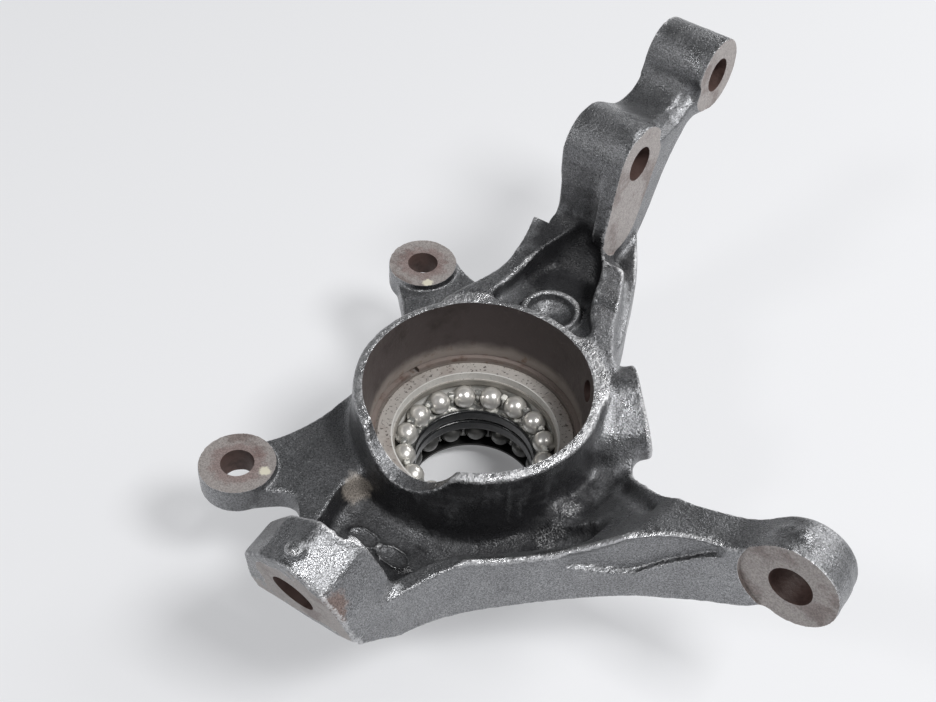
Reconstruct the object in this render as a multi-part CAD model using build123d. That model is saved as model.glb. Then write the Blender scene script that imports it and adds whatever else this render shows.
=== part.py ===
"""Front steering knuckle with the outer half of its wheel bearing still pressed in.

Frame: the hub axis is Z and the outboard hub face lies on Z = 0, so the part rests on that
face with its inboard side up. X runs along the strut bolts, Y points to the strut.
"""

from build123d import *
from math import cos, radians, sin, tan
import os

# wheel bearing ---------------------------------------------------------------
bearing_od = 74.0
bearing_width = 36.0
ball_count = 16
ball_d = 8.7
ball_pitch_d = 52.8
row_offset = 9.4          # from the bearing's middle to each row of balls
race_clearance = 0.12     # between a ball and its raceway
land_bore_d = 57.6        # middle land between the two raceways
end_bore_d = 59.4         # ring bore outside each raceway
seal_seat_d = 61.2
seal_seat_depth = 3.2
ring_chamfer = 1.0
cage_clearance = 0.25     # ball to cage pocket
cage_wall = 2.6
cage_finger_height = 3.0  # how far the pocket fingers reach past the ball centres
cage_lip_bore_d = 44.6
cage_lip_od = 51.6
cage_lip_gap = 0.8        # between the two cages at the bearing's middle
seal_thickness = 2.4
seal_lip_d = 49.0

# hub ---------------------------------------------------------------------------
shoulder_height = 6.0     # outboard lip that the bearing is pressed against
shoulder_bore_d = 66.0
hub_od = 92.0
hub_height = 69.0         # outboard face to the inboard rim
rim_wall = 3.4
throat_d = 77.4           # machined bore just above the snap ring
mouth_d = 82.0            # cast bore at the rim
throat_height = 7.5       # machined length above the bearing
hub_edge = 2.0
scallop_radius = 20.0     # cut-out in the rim
scallop_floor = 56.0
scallop_angle = -91.0
ring_groove_width = 2.0
ring_groove_depth = 1.6
snap_ring_wire = 1.75     # thickness of the snap ring
snap_ring_width = 3.1
snap_ring_gap_angle = 6.0
snap_ring_turn = 165.0

# caliper ears ------------------------------------------------------------------
caliper_pitch_radius = 87.0
left_ear_angle = 231.6
upper_ear_angle = 140.7
ear_od = 27.6
ear_hole_d = 12.0
ear_face = 49.6
ear_thickness = 11.4
ear_plate_drop = 2.4      # cast plate below the machined ear face
ear_plate_thickness = 10.0
floor_top = 36.0          # cast floor of the lower pocket
floor_thickness = 6.0

# strut arm ---------------------------------------------------------------------
strut_face_x = -1.4
strut_width = 25.6
strut_hole_d = 14.0
lower_strut_y = 103.5
lower_strut_z = 103.0
strut_pitch = 57.6
strut_slant = 9.9         # degrees between the bolt line and Y
strut_boss_r = 15.0
pad_relief = 1.3          # cast sides below the machined strut faces
pad_tail_r = 12.5
pad_tail_drop = 24.0
pad_tail_shift = -8.0
core_boss_center = (-3.8, 51.6)
core_boss_r = 11.6
core_boss_top = 61.0

# lower ball-joint block ----------------------------------------------------------
block_center = (5.5, -104.8, 65.1)
block_tilt = 13.8         # degrees from Y towards Z
block_height = 21.5
ball_taper_d = 16.0
taper_ratio = 0.1

# steering arm --------------------------------------------------------------------
tie_rod_x = 129.8
tie_rod_face_y = -15.0
tie_rod_z = 76.2
tie_rod_boss_r = 16.5
tie_rod_boss_height = 17.6
tie_rod_taper_d = 15.0
rail_waist = (74.0, 34.5)       # stud centre to the rail's waist, along X and Y
arm_fork = (76.0, 38.0)         # stud centre to the point where the arm meets the hub

# sensor boss ---------------------------------------------------------------------
sensor_hole_d = 8.0
sensor_angle = 43.6       # around the hub axis
sensor_rise = 8.6         # degrees above the XY plane
sensor_reach = 58.2       # hub axis to the machined end
sensor_height = 63.6
sensor_pad_length = 33.0
sensor_pad_width = 20.0
sensor_hole_inset = 5.0   # from the pad's middle run towards its upper end
sensor_root = 6.0         # how far the boss reaches into the hub wall

cutter_reach = 30.0       # how far a cutter runs past the metal

os.makedirs("parts", exist_ok=True)

bearing_bottom = shoulder_height
bearing_top = bearing_bottom + bearing_width
bearing_middle = bearing_bottom + bearing_width / 2
ball_r = ball_d / 2
pitch_r = ball_pitch_d / 2
hub_r = hub_od / 2
rim_r = mouth_d / 2 + rim_wall


def outline_face(start, runs, place):
    """Closed face; each run is a line to one point, or a smooth curve through several."""
    edges = []
    last = start
    for run in (*runs, [start]):
        points = [Vector(*place(*p)) for p in (last, *run)]
        edges.append(Spline(*points) if len(points) > 2 else Line(*points))
        last = run[-1]
    return make_face(Wire(edges))


def prism(start, *runs, bottom, top):
    """Straight-sided block on an outline in the XY plane."""
    face = outline_face(start, runs, lambda x, y: (x, y, bottom))
    return extrude(face, amount=top - bottom, dir=(0, 0, 1))


def polar(radius, angle, z=0.0):
    return (radius * cos(radians(angle)), radius * sin(radians(angle)), z)


def ring(outer, inner, bottom, top):
    return Pos(0, 0, bottom) * (
        Cylinder(outer, top - bottom, align=(Align.CENTER, Align.CENTER, Align.MIN))
        - Cylinder(inner, top - bottom, align=(Align.CENTER, Align.CENTER, Align.MIN))
    )


def disc(radius, bottom, top, x=0.0, y=0.0):
    return Pos(x, y, bottom) * Cylinder(
        radius, top - bottom, align=(Align.CENTER, Align.CENTER, Align.MIN)
    )


def turned(points):
    """Solid of revolution about the hub axis from (radius, z) points."""
    profile = make_face(Polyline(*[(r, 0, z) for r, z in points], close=True))
    return revolve(profile, Axis.Z)


def side_profile(start, *runs, x_low, x_high):
    """Block whose outline is drawn in the YZ plane."""
    face = outline_face(start, runs, lambda y, z: (x_low, y, z))
    return extrude(face, amount=x_high - x_low, dir=(1, 0, 0))


def front_profile(start, *runs, y_low, y_high):
    """Block whose outline is drawn in the XZ plane."""
    face = outline_face(start, runs, lambda x, z: (x, y_low, z))
    return extrude(face, amount=y_high - y_low, dir=(0, 1, 0))


def cross_bar(radius, y, z, x_low, x_high):
    """Round bar along X."""
    bar = Cylinder(radius, x_high - x_low, align=(Align.CENTER, Align.CENTER, Align.MIN))
    return Pos(x_low, y, z) * Rot(0, 90, 0) * bar


# ---------------------------------------------------------------------------- hub
def hub_shell():
    return turned([
        (0, 0),
        (hub_r - hub_edge, 0),
        (hub_r, hub_edge),
        (hub_r, bearing_top + 4),
        (rim_r, hub_height),
        (0, hub_height),
    ])


def hub_bore():
    """Everything machined or cored on the hub axis, as one turned cutter."""
    seat_r = bearing_od / 2
    throat_r = throat_d / 2
    groove_r = throat_r + ring_groove_depth
    groove_top = bearing_top + ring_groove_width
    throat_top = groove_top + throat_height
    return turned([
        (0, -1),
        (shoulder_bore_d / 2, -1),
        (shoulder_bore_d / 2, shoulder_height),
        (seat_r, shoulder_height),
        (seat_r, bearing_top),
        (groove_r, bearing_top),
        (groove_r, groove_top),
        (throat_r, groove_top),
        (throat_r, throat_top),
        (mouth_d / 2, hub_height + 1),
        (0, hub_height + 1),
    ])


def rim_scallop():
    """Rounded cut-out in the rim, its axis radial."""
    cutter = Cylinder(scallop_radius, hub_od, align=(Align.CENTER, Align.CENTER, Align.MIN))
    lift = Pos(0, 0, scallop_floor + scallop_radius)
    return lift * Rot(0, 0, scallop_angle) * Rot(0, 90, 0) * cutter


# ------------------------------------------------------------------- caliper ears
left_ear = polar(caliper_pitch_radius, left_ear_angle)
upper_ear = polar(caliper_pitch_radius, upper_ear_angle)
ear_r = ear_od / 2
plate_top = ear_face - ear_plate_drop
plate_bottom = plate_top - ear_plate_thickness


def ear_disc(center):
    disc_body = disc(ear_r, ear_face - ear_thickness, ear_face, center[0], center[1])
    return chamfer(disc_body.edges().group_by(Axis.Z)[0], 1.2)


def left_ear_plate():
    x, y = left_ear[:2]
    return prism(
        (x - 4.0, y + 11.0),
        [(x + 1.0, y + 19.0), (x + 5.0, y + 29.0), (x + 7.5, y + 41.0), polar(hub_r, 190)[:2]],
        [(0, 0)],
        [polar(hub_r, 246)[:2]],
        [(x + 36.2, y + 14.5)],
        [(x + 40.2, y - 1.0), (x + 42.2, y - 14.0)],
        [(x + 37.0, y - 12.0)],
        [(x + 30.0, y - 2.0), (x + 24.0, y + 2.6), (x + 14.0, y - 3.0), (x + 8.0, y - 9.5)],
        bottom=plate_bottom, top=plate_top,
    )


def upper_ear_plate():
    x, y = upper_ear[:2]
    return prism(
        (x - 8.0, y - 8.0),
        [(x + 2.0, y - 17.5), (x + 9.0, y - 24.5), polar(hub_r, 168)[:2]],
        [(0, 0)],
        [polar(hub_r, 96)[:2]],
        [(x + 41.0, y + 12.0)],
        [(x + 33.0, y + 9.0), (x + 25.0, y + 7.0), (x + 19.0, y + 7.7), (x + 8.6, y + 11.7)],
        bottom=plate_bottom, top=plate_top,
    )


# ---------------------------------------------------------------------- strut arm
upper_strut_y = lower_strut_y + strut_pitch * cos(radians(strut_slant))
upper_strut_z = lower_strut_z + strut_pitch * sin(radians(strut_slant))
strut_left_x = strut_face_x - strut_width


def strut_plan():
    """Arm outline seen from above, its two flanges spreading to the hub."""
    right = strut_face_x - pad_relief
    left = strut_left_x + 0.4
    top = upper_strut_y + strut_boss_r + 5
    y = lower_strut_y
    return prism(
        (right, top),
        [(right, y - 11.0)],
        [
            (strut_face_x + 7.6, y - 18.0),
            (strut_face_x + 18.6, y - 36.0),
            (strut_face_x + 25.0, y - 50.0),
            polar(hub_r + 4.0, 48)[:2],
            polar(hub_r, 32)[:2],
        ],
        [(0, 0)],
        [polar(hub_r, 142)[:2]],
        [
            (strut_left_x - 5.0, y - 60.0),
            (strut_left_x - 2.6, y - 48.5),
            (strut_left_x - 3.9, y - 33.5),
            (strut_left_x - 7.5, y - 19.0),
        ],
        [(strut_left_x - 7.8, y - 15.0)],
        [(strut_left_x - 1.2, y - 14.0)],
        [(strut_left_x - 1.0, y - 10.0), (left, y - 4.0)],
        [(left, top)],
        bottom=0, top=upper_strut_z + 40,
    )


def strut_side():
    """Arm outline seen along the bolts, without the two round bosses."""
    y, z = lower_strut_y, lower_strut_z
    far_y, far_z = upper_strut_y, upper_strut_z
    return side_profile(
        (0, hub_height),
        [(y - 43.0, hub_height + 0.8)],
        [(y - 28.0, hub_height + 2.5), (y - 18.0, hub_height + 6.0), (y - 14.6, hub_height + 12.0)],
        [(y - 14.8, z + 2.0)],
        [(y, z + strut_boss_r - 0.5)],
        [(y + 11.0, z + 11.5), (y + 22.0, z + 5.5), (y + 32.0, z + 4.8), (far_y - 14.0, far_z + 4.0)],
        [(far_y, far_z + strut_boss_r - 0.5)],
        [(far_y + 4.0, far_z - 13.5)],
        [(far_y - 17.5, far_z - 14.0)],
        [
            (y + 33.0, z - 10.5),
            (y + 25.0, z - 20.0),
            (y + 17.0, z - 34.0),
            (y + 6.5, z - 46.0),
            (y - 10.0, z - 54.0),
            (y - 32.0, z - 60.0),
        ],
        [(0, floor_top - floor_thickness)],
        x_low=-hub_od, x_high=hub_od,
    )


def back_flange():
    """Wider outboard edge of the arm, from behind the lower bolt down to the hub."""
    y, z = lower_strut_y, lower_strut_z
    plan = prism(
        (strut_left_x + 4.0, y + 8.0),
        [(strut_face_x - 1.0, y + 8.0)],
        [
            (strut_face_x + 5.6, y - 1.0),
            (strut_face_x + 12.6, y - 13.0),
            (strut_face_x + 18.6, y - 27.0),
            (strut_face_x + 24.6, y - 40.0),
            (strut_face_x + 29.0, y - 55.0),
        ],
        [(0, 40.0)],
        [(strut_left_x + 4.0, 40.0)],
        bottom=0, top=z,
    )
    band = side_profile(
        (y + 8.0, z - 38.0),
        [(y - 10.0, z - 44.0), (y - 30.0, z - 44.0), (y - 60.0, z - 42.0)],
        [(y - 60.0, z - 62.0)],
        [(y - 32.0, z - 60.0), (y - 10.0, z - 54.0), (y + 8.0, z - 46.0)],
        x_low=-hub_od, x_high=hub_od,
    )
    return plan & band


def strut_pocket():
    """Recess between the two flanges, shallow at the bosses and deep at the hub."""
    y = lower_strut_y
    plan = prism(
        (-12.0, 20.0),
        [polar(rim_r, 128)[:2]],
        [(strut_left_x + 4.5, y - 45.0), (strut_left_x + 5.5, y - 30.0), (strut_left_x + 12.5, y - 15.5)],
        [(strut_left_x + 18.0, y - 16.0)],
        [(strut_face_x + 1.0, y - 22.0), (strut_face_x + 9.9, y - 42.5), (strut_face_x + 17.0, y - 53.5)],
        [polar(rim_r, 62)[:2]],
        [(12.0, 20.0)],
        bottom=0, top=upper_strut_z,
    )
    floor = side_profile(
        (0, bearing_top + 6.0),
        [(y - 48.0, bearing_top + 7.0)],
        [(y - 38.0, bearing_top + 9.0), (y - 24.0, bearing_top + 19.0), (y - 12.0, hub_height + 14.0)],
        [(y - 12.0, hub_height + 30.0)],
        [(0, hub_height + 30.0)],
        x_low=-hub_od, x_high=hub_od,
    )
    return plan & floor


def strut_bosses():
    """Round bosses at both bolts, their cast far edge rounded over."""
    bosses = Part()
    for y, z in ((lower_strut_y, lower_strut_z), (upper_strut_y, upper_strut_z)):
        bar = cross_bar(strut_boss_r, y, z, strut_left_x, strut_face_x)
        bosses += fillet(bar.edges().group_by(Axis.X)[0], 2.0)
    return bosses


def pad_outline(x, length):
    """Swept shape of the lower pad, standing on the plane at x."""
    start = Vector(lower_strut_y, lower_strut_z)
    end = Vector(lower_strut_y + pad_tail_shift, lower_strut_z - pad_tail_drop)
    across = (end - start).normalized()
    side = Vector(-across.Y, across.X)
    corners = [
        start + side * strut_boss_r,
        end + side * pad_tail_r,
        end - side * pad_tail_r,
        start - side * strut_boss_r,
    ]
    slab = make_face(Polyline(*[(x, c.X, c.Y) for c in corners], close=True))
    body = extrude(slab, amount=length, dir=(1, 0, 0))
    body += cross_bar(strut_boss_r, start.X, start.Y, x, x + length)
    body += cross_bar(pad_tail_r, end.X, end.Y, x, x + length)
    return body


def strut_arm():
    arm = (strut_plan() & strut_side()) - strut_pocket()
    arm += strut_bosses() + back_flange()
    arm += pad_outline(strut_face_x - 6.0, 6.0)
    arm -= pad_outline(strut_face_x, cutter_reach)
    arm -= pad_outline(strut_left_x - cutter_reach, cutter_reach)
    return arm


def strut_holes():
    holes = Part()
    for y, z in ((lower_strut_y, lower_strut_z), (upper_strut_y, upper_strut_z)):
        holes += cross_bar(strut_hole_d / 2, y, z, strut_left_x - 5, strut_face_x + 5)
    return holes


def core_boss():
    """Dished round boss in the strut pocket, half sunk in the hub wall."""
    x, y = core_boss_center
    body = disc(core_boss_r, bearing_top, core_boss_top, x, y)
    body = fillet(body.edges().group_by(Axis.Z)[-1], 2.5)
    return body - Pos(x, y, core_boss_top + 3.5) * Sphere(core_boss_r - 2.0)


# ------------------------------------------------------------- ball-joint block
block_plane = Plane(
    origin=block_center,
    x_dir=(1, 0, 0),
    z_dir=(0, cos(radians(block_tilt)), sin(radians(block_tilt))),
)


def ball_joint_block():
    outline = Polyline(
        (-22.5, 22.0), (-23.0, 12.0), (-19.5, -6.0), (-10.5, -16.0), (3.0, -23.5),
        (16.0, -15.0), (21.5, -3.0), (23.4, 10.5), (12.0, 17.0),
        close=True,
    )
    face = fillet(make_face(outline).vertices().group_by(Axis.Y)[0:3], 5.0)
    return block_plane * extrude(face, amount=block_height, taper=1.0)


def block_root():
    """Cast web that carries the block down to the pocket floor."""
    x, y, z = block_center
    return prism(
        (x - 16.0, y + 14.0),
        [(x + 12.0, y + 12.0)],
        [(x + 22.0, y + 22.0)],
        [(x + 18.0, y + 38.0)],
        [(x - 16.0, y + 34.0)],
        bottom=floor_top - 2.0, top=z - 10.0,
    )


def taper_bore(plane, big_d, depth):
    """Tapered stud hole, widest at the machined face."""
    small_d = big_d - depth * taper_ratio
    cone = Cone(
        big_d / 2 + taper_ratio / 2, small_d / 2 - taper_ratio / 2, depth + 2,
        align=(Align.CENTER, Align.CENTER, Align.MIN),
    )
    return plane * Pos(0, 0, -1) * cone


# ------------------------------------------------------------------- steering arm
tie_rod_plane = Plane(
    origin=(tie_rod_x, tie_rod_face_y, tie_rod_z), x_dir=(1, 0, 0), z_dir=(0, 1, 0)
)


def steering_plan():
    """Arm and lower rail seen from above."""
    x, y = tie_rod_x, tie_rod_face_y
    bx, by = block_center[0], block_center[1]
    return prism(
        (0, 0),
        [(bx + 8.0, by + 24.0)],
        [(bx + 10.0, by + 14.0)],
        [(bx + 19.5, by + 7.5)],
        [
            (bx + 25.0, by + 18.0),
            (bx + 31.0, by + 34.0),
            (bx + 41.0, by + 47.5),
            (x - rail_waist[0], y - rail_waist[1]),
            (x - 64.0, y - 26.5),
            (x - 52.0, y - 16.5),
            (x - 37.0, y - 5.5),
            (x - 18.0, y - 1.5),
            (x, y),
        ],
        [(x, y + 14.0)],
        [
            (x - 13.0, y + 15.0),
            (x - 22.0, y + 13.5),
            (x - 32.0, y + 11.5),
            (x - 45.5, y + 10.5),
            (x - 53.0, y + 13.5),
            (x - 60.0, y + 18.7),
            (x - 68.0, y + 24.5),
            (x - 72.5, y + 30.0),
            (x - arm_fork[0], y + arm_fork[1]),
        ],
        [polar(hub_r, 34)[:2]],
        bottom=0, top=tie_rod_z + 40,
    )


def steering_side():
    """Arm and lower rail seen from the ball-joint side."""
    x, z = tie_rod_x, tie_rod_z
    bx, by, bz = block_center
    return front_profile(
        (-hub_r, floor_top - 3.0),
        [(bx - 6.0, floor_top - 3.0)],
        [(bx + 8.0, bz - 20.5)],
        [(bx + 22.0, bz - 21.5)],
        [
            (bx + 28.0, bz - 27.0),
            (bx + 36.0, bz - 28.8),
            (bx + 46.0, bz - 27.2),
            (x - 68.0, z - 35.7),
            (x - 50.0, z - 33.6),
            (x - 38.0, z - 33.9),
            (x - 25.0, z - 28.5),
            (x - 12.0, z - 21.0),
            (x - 6.0, z - tie_rod_boss_r + 1.0),
        ],
        [(x, z - tie_rod_boss_r + 1.0)],
        [(x, z + tie_rod_boss_r - 1.0)],
        [
            (x - 10.0, z + 12.0),
            (x - 20.0, z + 4.5),
            (x - 32.0, z + 1.5),
            (x - 44.0, z - 0.5),
            (x - 56.0, z - 2.5),
            (x - 68.0, z - 5.0),
            (bx + 45.0, bz + 3.5),
            (bx + 35.0, bz - 0.1),
            (bx + 25.0, bz - 2.2),
            (-hub_r, bz - 3.5),
        ],
        y_low=-hub_od * 2, y_high=hub_od,
    )


def valley():
    """Concave run of the casting round the foot of the hub."""
    reach = tie_rod_x
    return turned([
        (0, bearing_top),
        (hub_r, bearing_top),
        (hub_r + 4.0, bearing_top + 1.5),
        (reach, bearing_top + (reach - hub_r) * 0.9),
        (reach, hub_height * 3),
        (0, hub_height * 3),
    ])


def steering_arm():
    arm = (steering_plan() & steering_side()) - valley()
    boss = Cone(
        tie_rod_boss_r, tie_rod_boss_r - 1.2, tie_rod_boss_height,
        align=(Align.CENTER, Align.CENTER, Align.MIN),
    )
    boss = fillet(boss.edges().group_by(Axis.Z)[-1], 4.0)
    return arm + tie_rod_plane * boss


# -------------------------------------------------------------------- lower pocket
def pocket_floor():
    """Slab under the ear plate; the pocket and its ramp are sunk into it afterwards."""
    bx, by = block_center[0], block_center[1]
    return prism(
        polar(hub_r - 4.0, 205)[:2],
        [(left_ear[0] + 27.0, left_ear[1] + 16.0)],
        [(left_ear[0] + 38.0, left_ear[1] - 12.0)],
        [(bx + 6.0, by + 26.0)],
        [(bx + 16.0, by + 26.0)],
        [(bx + 22.0, by + 41.0)],
        [(bx + 36.0, by + 56.0)],
        [(bx + 50.0, by + 68.0)],
        [(0, 0)],
        bottom=floor_top - floor_thickness, top=plate_bottom + 0.5,
    )


def lower_pocket():
    bx, by = block_center[0], block_center[1]
    face = make_face(Polyline(
        (left_ear[0] + 35.5, left_ear[1] + 16.0),
        (left_ear[0] + 39.5, left_ear[1] - 1.0),
        (left_ear[0] + 42.0, left_ear[1] - 17.0),
        (bx + 14.0, by + 20.0),
        (bx + 20.0, by + 36.0),
        (bx + 28.0, by + 50.0),
        (bx + 20.0, by + 68.0),
        (0, -hub_r + 8.0),
        (-18.0, -hub_r + 8.0),
        close=True,
    ))
    rounded = fillet(face.vertices(), 2.0)
    return Pos(0, 0, floor_top) * extrude(rounded, amount=hub_height, taper=-10.0)


def pocket_ramp():
    """Slope that lifts the pocket floor into the valley beside the steering arm."""
    bx, by = block_center[0], block_center[1]
    plan = prism(
        (bx + 14.0, by + 24.0),
        [(bx + 21.5, by + 36.0), (bx + 31.0, by + 48.0), (bx + 43.0, by + 59.0), (bx + 62.0, by + 72.0)],
        [(bx + 62.0, by + 90.0)],
        [(0, -hub_r + 8.0)],
        bottom=0, top=hub_height * 2,
    )
    slope = front_profile(
        (0, floor_top),
        [(bx + 16.0, floor_top)],
        [(bx + 28.0, floor_top + 1.2), (bx + 44.0, floor_top + 5.0), (bx + 62.0, bearing_top + 9.0)],
        [(bx + 62.0, hub_height * 2)],
        [(0, hub_height * 2)],
        y_low=-hub_od * 2, y_high=hub_od,
    )
    return plan & slope


# --------------------------------------------------------------------- sensor boss
def sensor_plane():
    """Plane on the machined end, its Z pointing away from the hub."""
    rise, turn = radians(sensor_rise), radians(sensor_angle)
    out = Vector(cos(turn) * cos(rise), sin(turn) * cos(rise), sin(rise))
    start = out * (sensor_reach / cos(rise))
    start.Z = sensor_height
    return Plane(origin=start, x_dir=(0.62, -0.62, -0.48), z_dir=out)


def sensor_boss():
    """Elongated boss; the sensor hole is near its upper end."""
    face = SlotOverall(sensor_pad_length, sensor_pad_width)
    slab = Pos(sensor_pad_length / 2 - sensor_hole_inset, 0) * face
    return sensor_plane() * extrude(slab, amount=-(sensor_reach - hub_r + sensor_root))


def sensor_bore():
    bore = Cylinder(sensor_hole_d / 2, sensor_reach)
    return sensor_plane() * Pos(0, 0, -sensor_reach / 2 + 2.0) * bore


# ------------------------------------------------------------------------- casting
def knuckle_casting():
    body = left_ear_plate() + upper_ear_plate() + pocket_floor() + block_root()
    body += strut_arm()
    body += steering_arm()
    body += sensor_boss()
    body -= lower_pocket()
    body -= pocket_ramp()
    body += hub_shell() + core_boss() + ball_joint_block()
    for center in (left_ear, upper_ear):
        body += ear_disc(center)
        body -= disc(ear_r - 0.6, ear_face, ear_face + cutter_reach, center[0], center[1])
        body -= disc(ear_hole_d / 2, 0, ear_face + 1, center[0], center[1])
    body -= hub_bore()
    body -= rim_scallop()
    body -= strut_holes()
    body -= sensor_bore()
    body -= taper_bore(block_plane, ball_taper_d, block_height)
    body -= taper_bore(tie_rod_plane, tie_rod_taper_d, tie_rod_boss_height)
    return body


# ------------------------------------------------------------------------- bearing
def outer_ring():
    """Outer ring with two ball races, a middle land and a seal seat at each end."""
    outer, end = bearing_od / 2, end_bore_d / 2
    seal = seal_seat_d / 2
    body = turned([
        (outer, bearing_bottom + ring_chamfer),
        (outer, bearing_top - ring_chamfer),
        (outer - ring_chamfer, bearing_top),
        (seal, bearing_top),
        (seal, bearing_top - seal_seat_depth),
        (end, bearing_top - seal_seat_depth),
        (end, bearing_middle + row_offset),
        (land_bore_d / 2, bearing_middle + row_offset - ball_r * 0.5),
        (land_bore_d / 2, bearing_middle - row_offset + ball_r * 0.5),
        (end, bearing_middle - row_offset),
        (end, bearing_bottom + seal_seat_depth),
        (seal, bearing_bottom + seal_seat_depth),
        (seal, bearing_bottom),
        (outer - ring_chamfer, bearing_bottom),
    ])
    for side in (1, -1):
        race = Torus(pitch_r, ball_r + race_clearance)
        body -= Pos(0, 0, bearing_middle + side * row_offset) * race
    return body


def ball_center(side, index):
    angle = 360.0 / ball_count * (index + (0.5 if side < 0 else 0.0))
    return polar(pitch_r, angle, bearing_middle + side * row_offset)


def ball_cage(side):
    """Snap-in cage: a lip towards the bearing's middle and fingers between the balls."""
    row = bearing_middle + side * row_offset
    lip_start = bearing_middle + side * cage_lip_gap / 2
    web = row + side * cage_finger_height
    inner, outer = cage_lip_bore_d / 2, cage_lip_od / 2
    body = turned([
        (inner, lip_start),
        (outer, lip_start),
        (outer, row - side * ball_r * 0.7),
        (pitch_r + cage_wall / 2, row - side * ball_r * 0.7),
        (pitch_r + cage_wall / 2, web),
        (pitch_r - cage_wall / 2, web),
        (pitch_r - cage_wall / 2, row - side * ball_r * 0.9),
        (inner, row - side * ball_r),
    ])
    for index in range(ball_count):
        body -= Pos(*ball_center(side, index)) * Sphere(ball_r + cage_clearance)
    return body


def seal():
    """Outboard seal: steel case and rubber lip, bonded in one piece."""
    outer = seal_seat_d / 2
    inner = seal_lip_d / 2
    return turned([
        (outer, bearing_bottom),
        (outer, bearing_bottom + seal_thickness),
        (inner + 3.0, bearing_bottom + seal_thickness),
        (inner, bearing_bottom + seal_thickness * 0.7),
        (inner, bearing_bottom + seal_thickness * 0.3),
        (inner + 3.0, bearing_bottom),
    ])


def snap_ring():
    """Split internal retaining ring on top of the bearing."""
    outer = throat_d / 2 + ring_groove_depth - 0.15
    body = ring(outer, outer - snap_ring_width, bearing_top, bearing_top + snap_ring_wire)
    slot = Pos(outer, 0, bearing_top) * Box(
        snap_ring_width * 4, 2 * outer * tan(radians(snap_ring_gap_angle / 2)), cutter_reach
    )
    return body - Rot(0, 0, snap_ring_turn) * slot


def write(name, shape):
    export_step(shape, f"parts/{name}.step")
    print(name, round(shape.volume))


write("knuckle_casting", knuckle_casting())
write("bearing_outer_ring", outer_ring())
write("snap_ring", snap_ring())
write("outboard_seal", seal())
for row_name, row_side in (("inboard", 1), ("outboard", -1)):
    write(f"{row_name}_ball_cage", ball_cage(row_side))
    for ball_index in range(ball_count):
        ball = Pos(*ball_center(row_side, ball_index)) * Sphere(ball_r)
        write(f"{row_name}_ball_{ball_index + 1:02d}", ball)
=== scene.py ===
import math

import bpy
import numpy as np
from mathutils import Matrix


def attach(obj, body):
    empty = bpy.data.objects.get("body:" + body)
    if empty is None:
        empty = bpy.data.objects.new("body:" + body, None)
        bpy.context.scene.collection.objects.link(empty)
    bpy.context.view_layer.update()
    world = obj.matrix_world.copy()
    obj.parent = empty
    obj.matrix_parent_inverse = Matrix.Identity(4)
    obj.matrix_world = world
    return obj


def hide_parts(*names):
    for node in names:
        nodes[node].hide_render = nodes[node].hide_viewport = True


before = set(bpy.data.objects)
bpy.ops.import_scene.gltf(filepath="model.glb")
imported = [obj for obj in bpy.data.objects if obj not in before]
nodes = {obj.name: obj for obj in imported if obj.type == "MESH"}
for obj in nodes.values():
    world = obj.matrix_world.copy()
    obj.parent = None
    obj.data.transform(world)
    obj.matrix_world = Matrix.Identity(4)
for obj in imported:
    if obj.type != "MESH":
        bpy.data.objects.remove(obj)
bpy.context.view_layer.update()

import openvdb
from mathutils import Matrix, Vector

mm = 0.001
print("frame read")


def meshArrays(mesh):
    # points and triangles of a mesh as arrays
    mesh.calc_loop_triangles()
    points = np.zeros(len(mesh.vertices) * 3, np.float32)
    mesh.vertices.foreach_get("co", points)
    triangles = np.zeros(len(mesh.loop_triangles) * 3, np.int32)
    mesh.loop_triangles.foreach_get("vertices", triangles)
    return points.reshape(-1, 3), triangles.reshape(-1, 3)


def objectFrom(name, mesh):
    piece = bpy.data.objects.new(name, mesh)
    bpy.context.scene.collection.objects.link(piece)
    return piece


def meshFrom(name, points, faces, material):
    mesh = bpy.data.meshes.new(name)
    mesh.from_pydata([tuple(p) for p in points], [], faces)
    mesh.validate()
    mesh.materials.append(material)
    return mesh


def quadMesh(name, points, quads):
    # for large arrays of four-sided faces, points in mm
    mesh = bpy.data.meshes.new(name)
    mesh.vertices.add(len(points))
    mesh.vertices.foreach_set("co", (points * mm).astype(np.float32).ravel())
    mesh.loops.add(len(quads) * 4)
    mesh.loops.foreach_set("vertex_index", quads.astype(np.int32).ravel())
    mesh.polygons.add(len(quads))
    mesh.polygons.foreach_set("loop_start", np.arange(len(quads), dtype=np.int32) * 4)
    mesh.update(calc_edges=True)
    mesh.validate()
    return mesh


def applyModifiers(piece):
    graph = bpy.context.evaluated_depsgraph_get()
    plain = bpy.data.meshes.new_from_object(piece.evaluated_get(graph))
    plain.name = piece.name
    piece.modifiers.clear()
    piece.data = plain


def vertexNormals(mesh):
    normals = np.zeros(len(mesh.vertices) * 3, np.float32)
    mesh.vertices.foreach_get("normal", normals)
    return normals.reshape(-1, 3)


def pushOut(mesh, lift):
    # moves every point along its normal, lift in mm
    points, _ = meshArrays(mesh)
    points = points + vertexNormals(mesh) * (lift * mm)[:, None]
    mesh.vertices.foreach_set("co", points.astype(np.float32).ravel())
    mesh.update()


def thinTo(piece, limit):
    piece.data.calc_loop_triangles()
    count = len(piece.data.loop_triangles)
    if count > limit:
        thin = piece.modifiers.new("thin", "DECIMATE")
        thin.ratio = limit / count
        applyModifiers(piece)


def outward(mesh):
    # faces turned out: the volume inside them is then positive
    points, triangles = meshArrays(mesh)
    a, b, c = (points[triangles[:, k]].astype(float) for k in range(3))
    if np.einsum("ij,ij->i", a, np.cross(b, c)).sum() < 0:
        mesh.flip_normals()
    return mesh


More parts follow.
